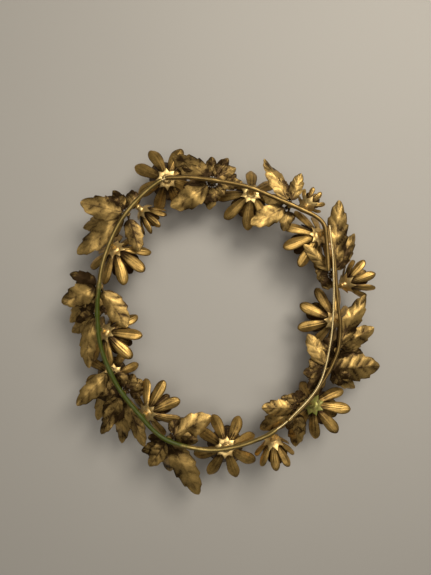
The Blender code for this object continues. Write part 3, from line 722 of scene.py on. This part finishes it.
# %% One petal
BACK_GRID, FRONT_GRID = (16, 13), (10, 7)
ROWS_TO_TIP, LAST_ROW = 1.35, 0.9985
BEND_SPREAD = (0.03, 0.13, 0.5, 0.04)
HUB_OVERLAP = 0.8
GROOVE_PLACE, GROOVE_SPREAD, GROOVE_WIDTH, GROOVE_DEPTHS = 0.33, 0.02, 0.11, (0.12, 0.40)
FRONT_DISH, FRONT_SINK = 0.25, 0.3
HUB_SHADE, TIP_SHADE, EDGE_SHADE, FRONT_SHADE, SHADE_SPREAD = 0.75, 0.40, 0.40, 0.55, 0.09


def petal_loops(rng, angle, level, length, cone, front):
    """Loops of one petal in the head's own frame, with its marks."""
    rows, columns = FRONT_GRID if front else BACK_GRID
    s = np.minimum(1 - (1 - np.linspace(0, 1, rows)[:, None]) ** ROWS_TO_TIP, LAST_ROW)
    u, back = both_faces(columns)
    yaw, twist, curl, sway = rng.normal(0, BEND_SPREAD)
    tilt = cone + PETAL_CURL * s
    reach = length * (np.sin(tilt) - math.sin(cone)) / PETAL_CURL
    rise = length * (math.cos(cone) - np.cos(tilt)) / PETAL_CURL + curl * climb(s, 0.5, 1) ** 2
    half = petal_width(s) * length / PETAL_LENGTH / 2
    groove_at = GROOVE_PLACE + rng.normal(0, GROOVE_SPREAD)
    groove = bell(np.abs(u) - groove_at, GROOVE_WIDTH) * climb(s, 0, 0.15) * climb(s, 0.86, 0.66)
    depth = rng.uniform(*GROOVE_DEPTHS)
    dome = PETAL_CROWN * (1 - np.abs(u) ** 2.2) - PETAL_CUP * 2 * half * u**2
    if front:
        dome = FRONT_DISH * half * u**2 - FRONT_SINK
    sheet = PETAL_SHEET * (1 - 0.6 * u**4)
    height = dome - depth * groove * back - sheet * (1 - back)
    height = height * np.clip(half / (0.25 * PETAL_WIDTH), 0.15, 1)
    turn = angle + yaw + sway * s**2
    lean = twist * s
    outward = np.stack([np.cos(turn), np.sin(turn), np.zeros_like(turn)], axis=-1)
    across = np.stack([-np.sin(turn), np.cos(turn), np.zeros_like(turn)], axis=-1)
    behind = np.sin(tilt)[..., None] * outward - np.cos(tilt)[..., None] * UP
    edge = np.cos(lean)[..., None] * across + np.sin(lean)[..., None] * behind
    middle = outward * (HUB_RADIUS - HUB_OVERLAP + reach)[..., None] + UP * (level + rise)[..., None]
    loops = middle + (half * u)[..., None] * edge + height[..., None] * behind
    shade = 1.1 * depth * groove * back + HUB_SHADE * climb(s, 0.4, 0) + TIP_SHADE * climb(s, 0.8, 1) ** 2
    shade = shade + EDGE_SHADE * np.abs(u) ** 8 + rng.normal(0, SHADE_SPREAD) + FRONT_SHADE * front
    return loops, s, u, np.clip(shade, -0.2, 0.9)


print("back and front petal grids:", BACK_GRID, FRONT_GRID)

# %% [markdown]
# A head is drawn in a frame of its own, with its stalk along z, and is turned to the axis of its joint.
# The head swings about that axis, and the leaves have to leave it room. So the places that its
# petals and its calyx pass between the joint's two limits are noted while the head is made.

# %% A head's frame and its swing
SWING_STEPS = 5
swept = []


def head_frame(joint):
    """Rows that turn a head's own directions into the crown's, and the head's place."""
    axis = unit(np.array(joint["axis"]))
    level = unit(np.array((axis[0], axis[1], 0.0)))
    x = level * -axis[2] + UP * math.hypot(axis[0], axis[1])
    return np.stack([x, np.cross(axis, x), axis]), np.array(joint["pos_m"]) / MM


def note_swing(joint, turn, base, loops):
    """Keeps the places that a petal or sepal passes as its head turns on the stalk."""
    coarse = loops[::2, ::3].reshape(-1, 3)
    for swing in np.radians(np.linspace(*joint["range_deg"], SWING_STEPS)):
        c, s = math.cos(swing), math.sin(swing)
        about = np.array(((c, s, 0), (-s, c, 0), (0, 0, 1)))
        swept.append(base + coarse @ about @ turn)


print("swing noted at", SWING_STEPS, "angles")

# %% Rosettes
PETALS = 8
PETAL_TURN = math.radians(360 / PETALS)


def dress_petals(number, joint, row):
    """Both tiers of a head; the front one is closed further and set between the back petals."""
    _, stalk, cone, spin, size = row
    turn, base = head_frame(joint)
    rng = np.random.default_rng(number)
    cone, spin = math.radians(cone), math.radians(spin)
    level = stalk + NECK_LENGTH + FLANGE_THICKNESS + CLEARANCE + TIER_THICKNESS
    shell = Shell()
    for k in range(2 * PETALS):
        front = k >= PETALS
        own = cone + FRONT_CLOSING * (FRONT_CONE - cone) if front else cone
        own += PETAL_SWAY * math.sin(2.4 * k + 0.7)
        angle = spin + PETAL_TURN * (k % PETALS + 0.5 * front)
        length = PETAL_LENGTH * size * (FRONT_SHARE if front else 1)
        loops, *marks = petal_loops(rng, angle, level, length, own, front)
        note_swing(joint, turn, base, loops)
        shell.loft((base + loops @ turn) * MM, *marks)
    return shell.dress(f"flower_{number:02d}_petals", "petal_gold", "petal")


def dress_heads(dress):
    """Dresses one piece of every head."""
    for number, (joint, row) in enumerate(zip(frame["joints"], FLOWERS), 1):
        piece = dress(number, joint, row)
    print(piece.name, len(piece.data.vertices), "points")


dress_heads(dress_petals)

# %% [markdown]
# The calyx is a short neck that slips over the spur and opens into a star of eight sharp sepals. It
# caught the most paint, so it shines. One calyx came off the spray almost green.

# %% One sepal
SEPAL_START, SEPAL_REACH, SEPAL_NOTCH, SEPAL_BACKSET = 2.6, 7.8, 4.8, math.radians(10)
SEPAL_ROWS, SEPAL_POINT, SEPAL_LIFT, SEPAL_SAG, SEPAL_RIM = 13, 0.04, 0.55, 0.35, 0.6
SEPAL_ACROSS = np.array([-1.0, -0.5, 0.0, 0.5, 1.0, 0.0])[None, :]
SEPAL_KEEL = np.array([0.0, 0.16, 0.26, 0.16, 0.0, -0.35])[None, :]


def sepal_loops(angle, flange, slope):
    """One pointed sepal with a keel along its back."""
    t = np.linspace(0, 1, SEPAL_ROWS)[:, None]
    radius = SEPAL_START + (SEPAL_REACH - SEPAL_START) * t
    taper = (SEPAL_REACH - radius) / (SEPAL_REACH - SEPAL_NOTCH)
    half = math.tan(math.pi / PETALS) * np.minimum(radius, SEPAL_NOTCH * taper) + SEPAL_POINT
    keel = SEPAL_KEEL * (1 - 0.5 * t)
    z = flange + SEPAL_LIFT + (radius - HUB_RADIUS) * slope - keel - SEPAL_SAG * np.sin(math.pi * t)
    x = radius * math.cos(angle) - half * SEPAL_ACROSS * math.sin(angle)
    y = radius * math.sin(angle) + half * SEPAL_ACROSS * math.cos(angle)
    rim = climb(np.abs(SEPAL_ACROSS), 0.5, 1) * climb(radius, SEPAL_NOTCH, SEPAL_NOTCH + SEPAL_RIM)
    return np.stack(np.broadcast_arrays(x, y, z), axis=-1), t, SEPAL_ACROSS, rim


print("sepals reach", SEPAL_REACH, "mm")

# %% Calyxes
GREEN_HEAD, GREEN_BARE = 6, 0.95
NECK_SIDES, NECK_NOTED, RIM_SHADE, CALYX_SHARP = 16, 8, 0.6, 28


def round_loops(profile, sides):
    """Rings from (radius, height) pairs in a head's own frame."""
    return np.array([[(r * math.cos(a), r * math.sin(a), z) for a in ring_turns(sides)] for r, z in profile])


def revolve(shell, profile, sides, turn, base, shade):
    shell.loft((base + round_loops(profile, sides) @ turn) * MM, 0.0, 0.0, shade)


def dress_calyx(number, joint, row):
    """A neck and a flange with eight sepals."""
    _, stalk, cone, spin, _ = row
    turn, base = head_frame(joint)
    flange = stalk + NECK_LENGTH
    slope = math.tan(max(0.0, math.radians(cone) - SEPAL_BACKSET))
    bare = GREEN_BARE if number == GREEN_HEAD else 0.0
    shell = Shell()
    inside = [(1.35, stalk)]
    neck = [(1.95, stalk), (2.1, stalk + 0.5), (1.9, stalk + 1.3), (1.9, flange - 1.4), (2.3, flange - 0.5),
            (3.4, flange)]
    plate = [(3.8, flange + 0.5), (3.7, flange + 0.9), (0.4, flange + 0.9)]
    revolve(shell, inside + neck + plate, NECK_SIDES, turn, base, bare)
    swept.append(base + round_loops(neck, NECK_NOTED).reshape(-1, 3) @ turn)
    for k in range(PETALS):
        loops, t, u, rim = sepal_loops(math.radians(spin) + PETAL_TURN * (k + 0.5), flange, slope)
        note_swing(joint, turn, base, loops)
        shell.loft((base + loops @ turn) * MM, t, u, bare + RIM_SHADE * rim)
    finish = "calyx_green" if number == GREEN_HEAD else "calyx_gold"
    return shell.dress(f"flower_{number:02d}_calyx", finish, "calyx", sharp=CALYX_SHARP)


dress_heads(dress_calyx)

# %% [markdown]
# The stamen button faces the floor in the photograph. It is a low dome packed with bead-like florets
# in a spiral, the way a daisy's centre grows.

# %% Stamens
BUTTON_SIDES, BUTTON_SHADE, PIN_RADIUS, PIN_START = 14, 0.35, 0.9, 3.3
FLORETS, FLORET_SIDES, FLORET_SHADE = 42, 6, 0.15
FLORET_SPREAD, FLORET_LEAN, FLORET_TOP, FLORET_FALL = 3.1, 1.25, 2.45, 1.6
FLORET_PROFILE = ((0.42, -0.2), (0.46, 0.15), (0.34, 0.42), (0.1, 0.52))
GOLDEN_TURN = math.radians(137.508)
ASIDE = (0.3, 0.2, 1.0)


def floret_loops(k, seat):
    """One bead of the spiral; it leans out more the further out it sits."""
    share = math.sqrt((k + 0.5) / FLORETS)
    lean, spot = share * FLORET_LEAN, GOLDEN_TURN * k
    round_way = np.array((math.cos(spot), math.sin(spot), 0.0))
    out = math.sin(lean) * round_way + math.cos(lean) * UP
    centre = share * FLORET_SPREAD * round_way + (seat + FLORET_TOP - FLORET_FALL * share**2) * UP
    side = unit(np.cross(out, ASIDE))
    other = np.cross(out, side)
    ring = [math.cos(a) * side + math.sin(a) * other for a in ring_turns(FLORET_SIDES)]
    return np.array([[centre + out * h + r * way for way in ring] for r, h in FLORET_PROFILE])


def dress_stamen(number, joint, row):
    """A low dome on a pin, covered with florets."""
    stalk = row[1]
    turn, base = head_frame(joint)
    seat = stalk + NECK_LENGTH + FLANGE_THICKNESS + 2 * TIER_THICKNESS + 2 * CLEARANCE
    shell = Shell()
    profile = ((PIN_RADIUS, stalk + PIN_START), (PIN_RADIUS, seat), (3.5, seat), (3.6, seat + 0.6),
               (3.3, seat + 1.4), (2.5, seat + 2.1), (1.2, seat + 2.5), (0.3, seat + 2.6))
    revolve(shell, profile, BUTTON_SIDES, turn, base, BUTTON_SHADE)
    for k in range(FLORETS):
        shell.loft((base + floret_loops(k, seat) @ turn) * MM, 0.0, 0.0, FLORET_SHADE)
    return shell.dress(f"flower_{number:02d}_stamen", "stamen_gold", "stamen")


dress_heads(dress_stamen)

# %% [markdown]
# ## Leaf sprays
# The leaves are broad, with a toothed edge, a blunt tip and veins that were pressed in, so the blade
# swells between them. The edges fall away from the back and ripple. The outline and the fall follow
# the solids; teeth, veins, creases and the thin blade are what is added here. A blade is lofted like a
# petal, and a seeded generator crumples each one in its own way, as no two pressed leaves are alike.

# %% Leaf sizes and lobes
PETIOLE_LENGTH, PETIOLE_WIDTH, PETIOLE_ROUND, PETIOLE_ROWS = 1.8, 1.6, 0.55, (-0.999, -0.5)
LEAF_FULLNESS, LEAF_SHEET, LEAF_COLUMNS, LEAF_LAST_ROW = 1.12, 0.5, 17, 0.998
LEAF_FOLD, LEAF_DROOP = math.radians(16), math.radians(14)
LOBE_LENGTH, LOBE_TURN, LOBE_OFFSET = 14, 0.93, 0.45
LOBE_ROWS = np.array((0.0, 0.2, 0.4, 0.6, 0.8, LOBE_TURN))
NOTCH_BASE, NOTCH_TIP = 0.06, 0.21


def leaf_rows(lobes):
    """Shares along petiole and blade, with six rows to each lobe, and each row's place in its lobe."""
    rows = ((np.arange(lobes)[:, None] + LOBE_ROWS) / lobes).ravel()
    blade = np.concatenate([PETIOLE_ROWS, rows, [LEAF_LAST_ROW]])
    return blade, np.concatenate([(0.5, 0.5), np.tile(LOBE_ROWS, lobes), [0.9]])


def lobe_edge(phase):
    """A lobe's edge, which swells towards the tip of the leaf and then drops back."""
    phase = phase % 1
    return np.where(phase < LOBE_TURN, phase / LOBE_TURN, (1 - phase) / (1 - LOBE_TURN))


def half_width(blade, phase, u, width):
    """Half the width of each row, with the notches of the lobes on both sides."""
    s = np.clip(blade, 0, 1)[:, None]
    full = np.sin(math.pi * np.clip(s, 0, 0.9995) ** 0.92) ** 0.55
    notch = (NOTCH_BASE + NOTCH_TIP * s) * (1 - lobe_edge(phase[:, None] + np.where(u < 0, 0.0, LOBE_OFFSET)))
    least = PETIOLE_WIDTH / 2 * np.where(blade < 0, 1, 0.25)[:, None]
    return np.maximum(width / 2 * full * (1 - notch), least)


print("lobes of", LOBE_LENGTH, "mm")

# %% The line of a leaf
SPINE_STEPS = 200


def leaf_ahead(heading, pitch, bend, share):
    turn, fall = heading + bend * share, pitch - LEAF_DROOP * share
    return np.stack([np.cos(turn) * np.cos(fall), np.sin(turn) * np.cos(fall), np.sin(fall)], axis=-1)


def leaf_spine(start, length, blade, heading, pitch, bend=0.0, roll=0.0):
    """Middle points of a leaf's rows, with the sideways and upward directions at each."""
    on_petiole = (1 + blade) * PETIOLE_LENGTH
    on_blade = PETIOLE_LENGTH + np.clip(blade, 0, 1) * (length - PETIOLE_LENGTH)
    share = np.where(blade < 0, on_petiole, on_blade) / length
    steps = np.linspace(0, 1, SPINE_STEPS)
    ahead = leaf_ahead(heading, pitch, bend, steps)
    strides = (ahead[1:] + ahead[:-1]) / 2 * length / (SPINE_STEPS - 1)
    line = np.vstack([np.zeros(3), np.cumsum(strides, axis=0)])
    middle = start + np.stack([np.interp(share, steps, line[:, k]) for k in range(3)], axis=-1)
    ahead = leaf_ahead(heading, pitch, bend, share)
    flat = unit(np.cross(UP, ahead))
    lean = (roll * share)[:, None]
    side = np.cos(lean) * flat + np.sin(lean) * np.cross(ahead, flat)
    return middle, side, np.cross(ahead, side)


print(SPINE_STEPS, "spine steps")

# %% The crumpled back of a leaf
VEIN_SLANT, VEIN_OFFSETS, VEIN_LEVEL, SWELLS = 0.22, (0.25, 0.75), 0.55, (0.25, 0.7)
RIPPLES, RIPPLE_COUNT, RIPPLE_SKEW = (0.3, 0.8), 1.6, 1.2
CREASES, CREASE_HEIGHT, CREASE_LEVEL = (0.20, 0.32, 0.48), 0.75, 0.6


def leaf_relief(rng, s, u, half, wide, length, lobes):
    """Heights of swollen fields, ripples and creases, and how deep in a vein each point lies."""
    veins = lobes * (s - VEIN_SLANT * np.abs(u)) + np.where(u < 0, 0.0, rng.uniform(*VEIN_OFFSETS))
    puff = np.abs(np.sin(math.pi * veins)) ** 0.8
    field = climb(np.abs(u), 0, 0.2) * climb(np.abs(u), 1.08, 0.68) * wide
    swell, ripple, begin = rng.uniform(*SWELLS), rng.uniform(*RIPPLES), rng.uniform(0, math.tau)
    wave = np.sin(math.tau * RIPPLE_COUNT * s + begin + RIPPLE_SKEW * np.sign(u))
    relief = (puff - VEIN_LEVEL) * swell * field + ripple * u**2 * wave * wide
    for pitch in CREASES:
        toward, begin = rng.uniform(0, math.tau, 2)
        wave = pitch * (math.cos(toward) * s * length + math.sin(toward) * u * half) + begin
        relief = relief + CREASE_HEIGHT * (CREASE_LEVEL - np.abs(np.sin(wave / 2))) * wide
    return relief, (1 - puff) ** 2 * field


print(len(CREASES), "creases to a leaf")

# %% One leaflet
SMOOTH_BASE, RELIEF_WIDTH, RELIEF_LENGTH = 0.16, 0.3, 30
MIDRIB_DEPTH, MIDRIB_WIDTH = 0.35, 0.09
VEIN_SHADE, MIDRIB_SHADE, BASE_SHADE, HOLLOW_SHADE, RIM_SHADE_LEAF = 0.36, 0.30, 0.65, 0.55, 0.40
LEAF_SHADES = (0.04, 0.10)


def leaflet_loops(rng, start, leaflet, calm=1.0):
    """Loops of a petiole that widens into a lobed, crumpled blade, with their marks."""
    heading, length, width, *slopes = leaflet
    width = width * LEAF_FULLNESS
    lobes = 2 + round(length / LOBE_LENGTH)
    blade, phase = leaf_rows(lobes)
    middle, side, up = leaf_spine(start, length, blade, *(math.radians(a) for a in (heading, *slopes)))
    u, back = both_faces(LEAF_COLUMNS)
    half = half_width(blade, phase, u, width)
    s = np.clip(blade, 0, 1)[:, None]
    blend = climb(s, 0, SMOOTH_BASE)
    wide = climb(half, 0, RELIEF_WIDTH * width)
    relief, vein = leaf_relief(rng, s, u, half, wide, length, lobes)
    relief = relief * min(1.0, length / RELIEF_LENGTH) * calm
    # hollow is painted shade in the sunken parts of the relief, and below zero a faint painted highlight on
    # its raised parts.
    hollow = np.clip(-relief / 0.9, -0.3, 1)
    relief = relief - MIDRIB_DEPTH * bell(u, MIDRIB_WIDTH) * back * climb(s, 1.1, 0.1)
    fold = -np.abs(u) * half * math.sin(LEAF_FOLD) * blend
    sheet = LEAF_SHEET * (1 - 0.5 * u**4)
    stalk = PETIOLE_ROUND * np.sqrt(np.clip(1 - u**2, 0, 1)) * (2 * back - 1)
    height = blend * (relief + sheet * (back - 0.5)) + fold + (1 - blend) * stalk
    loops = middle[:, None] + (half * u)[..., None] * side[:, None] * math.cos(LEAF_FOLD)
    loops = loops + height[..., None] * up[:, None]
    shade = VEIN_SHADE * vein + MIDRIB_SHADE * bell(u, 0.08) + BASE_SHADE * climb(s, 0.25, 0)
    shade = shade + HOLLOW_SHADE * hollow * wide + RIM_SHADE_LEAF * climb(np.abs(u), 0.84, 1)
    return loops, s, u, np.clip(shade + rng.normal(*LEAF_SHADES), -0.2, 0.9)


print("full relief from", RELIEF_LENGTH, "mm")

# %% [markdown]
# Short leaves sit under the big ones, and painted shade darkens them, as they lie in the shade of the
# big leaves. They fill the band and give it its depth. They are too many to place by eye, so a rule sets
# them: round each socket a short leaf darkened with painted shade, a bract, is tried in every direction,
# and it is kept where no head passes when it swings.
# A big leaf that would graze a head is made a little smaller and smoother.

# %% Room for the heads
LEAF_GAP, LEAF_CALM, LEAF_TRIM = 0.8, 0.6, 0.94
head_places = np.vstack(swept)
head_tree = KDTree(len(head_places))
for index, place in enumerate(head_places):
    head_tree.insert(place, index)
head_tree.balance()


def head_gap(loops):
    """The least distance from a leaf to a place that a petal or a calyx passes."""
    return min(head_tree.find(point)[2] for point in loops[::2, ::4].reshape(-1, 3))


def fitted_leaflet(rng, start, leaflet):
    """A leaflet, or a smaller and smoother one from the same draws where it would graze a head."""
    state = rng.bit_generator.state
    loops, *marks = leaflet_loops(rng, start, leaflet)
    if head_gap(loops) < LEAF_GAP:
        rng.bit_generator.state = state
        heading, length, width, *slopes = leaflet
        smaller = (heading, length * LEAF_TRIM, width * LEAF_TRIM, *slopes)
        loops, *marks = leaflet_loops(rng, start, smaller, LEAF_CALM)
    return loops, *marks


print(len(head_places), "places noted")

# %% Bracts
# BRACT_SHADE is painted shade on the bracts, which lie under the big leaves.
BRACT_TRIES, BRACT_LENGTH, BRACT_WIDTH, BRACT_SHADE, BRACT_GAP = 14, 20.0, 9.5, 0.50, 1.6
BRACT_INNER_CUT, BRACT_PLACES, BRACT_SIZES = 0.4, (0.2, 0.8), (0.65, 1.1)
BRACT_LEAST, BRACT_MOST = (-14, -25, -20), (6, 25, 20)


def add_bracts(shell, rng, base, depth):
    """Short leaves under the others, darkened with painted shade, in every direction where no head swings."""
    kept = 0
    for k in range(BRACT_TRIES):
        heading = 360 * (k + rng.uniform(*BRACT_PLACES)) / BRACT_TRIES
        slopes = rng.uniform(BRACT_LEAST, BRACT_MOST)
        way = level_way(heading)
        inward = max(0.0, -float(way @ unit(base)))
        length = BRACT_LENGTH * rng.uniform(*BRACT_SIZES) * (1 - BRACT_INNER_CUT * inward)
        start = base + SOCKET_RADIUS * way - depth * UP
        loops, along, across, shade = leaflet_loops(rng, start, (heading, length, BRACT_WIDTH, *slopes))
        if head_gap(loops) > BRACT_GAP:
            shell.loft(loops * MM, along, across, shade + BRACT_SHADE)
            kept += 1
    return kept


print(BRACT_TRIES, "tries to a spray")

# %% Sprays
SOCKET_START, SOCKET_DEPTH, SOCKET_FLOOR = 2.3, 3.0, 0.8
SOCKET_SIDES, SOCKET_SHADE, BRACT_RISE = 14, 0.3, 0.6
SPRAY_SEED, LEAF_SHARP = 100, 60


def dress_spray(name, number, row):
    """A socket with its leaflets and its bracts."""
    stem, place, leaflets = row
    base = route_point(stem_paths[stem], place)
    rng = np.random.default_rng(SPRAY_SEED + number)
    shell = Shell()
    top, bottom = SOCKET_START, SOCKET_START + SOCKET_DEPTH + SOCKET_FLOOR
    profile = ((1.3, -top - 0.6), (1.4, -top), (1.9, -top - 0.1), (2.05, -top - 0.7), (1.9, -top - 1.5),
               (2.0, -bottom + 1.0), (1.5, -bottom + 0.2), (0.3, -bottom))
    revolve(shell, profile, SOCKET_SIDES, np.eye(3), base, SOCKET_SHADE)
    for leaflet in leaflets:
        start = base + SOCKET_RADIUS * level_way(leaflet[0]) - (top + bottom) / 2 * UP
        loops, *marks = fitted_leaflet(rng, start, leaflet)
        shell.loft(loops * MM, *marks)
    bracts = add_bracts(shell, rng, base, bottom - BRACT_RISE)
    print(name, "has", len(leaflets), "leaflets and", bracts, "bracts")
    return shell.dress(f"leaf_spray_{name}", "leaf_gold", "leaf", sharp=LEAF_SHARP)


for number, (name, row) in enumerate(LEAF_SPRAYS.items()):
    dress_spray(name, number, row)

# %% [markdown]
# ## Size
# The box of the dressed crown is kept side by side with the box of the solids, and how far it
# grows past it is printed. The dressed crown has to stay in the box of the solids, apart from a small
# margin, so both boxes are kept side by side.

# %% Finish
new_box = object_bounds()
growth = [round((n - c) * 1000, 2) for a, b in zip(cad_box, new_box) for c, n in zip(a, b)]
print("box grows by", growth, "mm")
